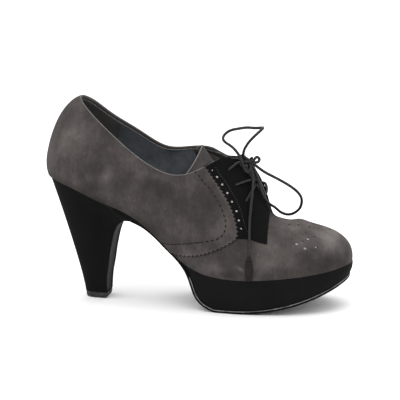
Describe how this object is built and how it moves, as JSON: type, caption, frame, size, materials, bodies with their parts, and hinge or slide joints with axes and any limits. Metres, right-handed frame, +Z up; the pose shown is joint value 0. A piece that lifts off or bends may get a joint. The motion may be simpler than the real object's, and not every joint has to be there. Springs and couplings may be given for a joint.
{
  "type": "heeled lace-up shoe",
  "caption": "Low-cut lace-up platform shoe for the right foot, with a suede upper, contrasting eyelet facings, a tied bow and a tall tapered heel.",
  "frame": {"origin": "on the floor under the middle of the shoe's length and width, the bow's cords left out", "axes": "+X towards the toe, +Y towards the inner side of the foot, +Z up"},
  "size_m": [0.2387, 0.0889, 0.158],
  "materials": {
    "grey_suede": "matt grey suede with a short nap",
    "black_suede": "matt black suede",
    "lining": "smooth dark grey leather",
    "sole_black": "satin black",
    "lace": "waxed black cord",
    "lace_barrel": "dark brown, satin"
  },
  "bodies": {
    "root": {"upper": "grey_suede", "facing_lateral": "black_suede", "facing_medial": "black_suede", "tongue": "grey_suede", "insole": "lining", "outsole": "sole_black", "platform": "black_suede", "heel": "black_suede", "heel_tip": "sole_black", "lace_cross": "lace", "lace_tie": "lace", "lace_knot": "lace", "lace_loop_front": "lace", "lace_loop_back": "lace", "lace_end": "lace", "lace_barrel": "lace_barrel"}
  },
  "joints": []
}
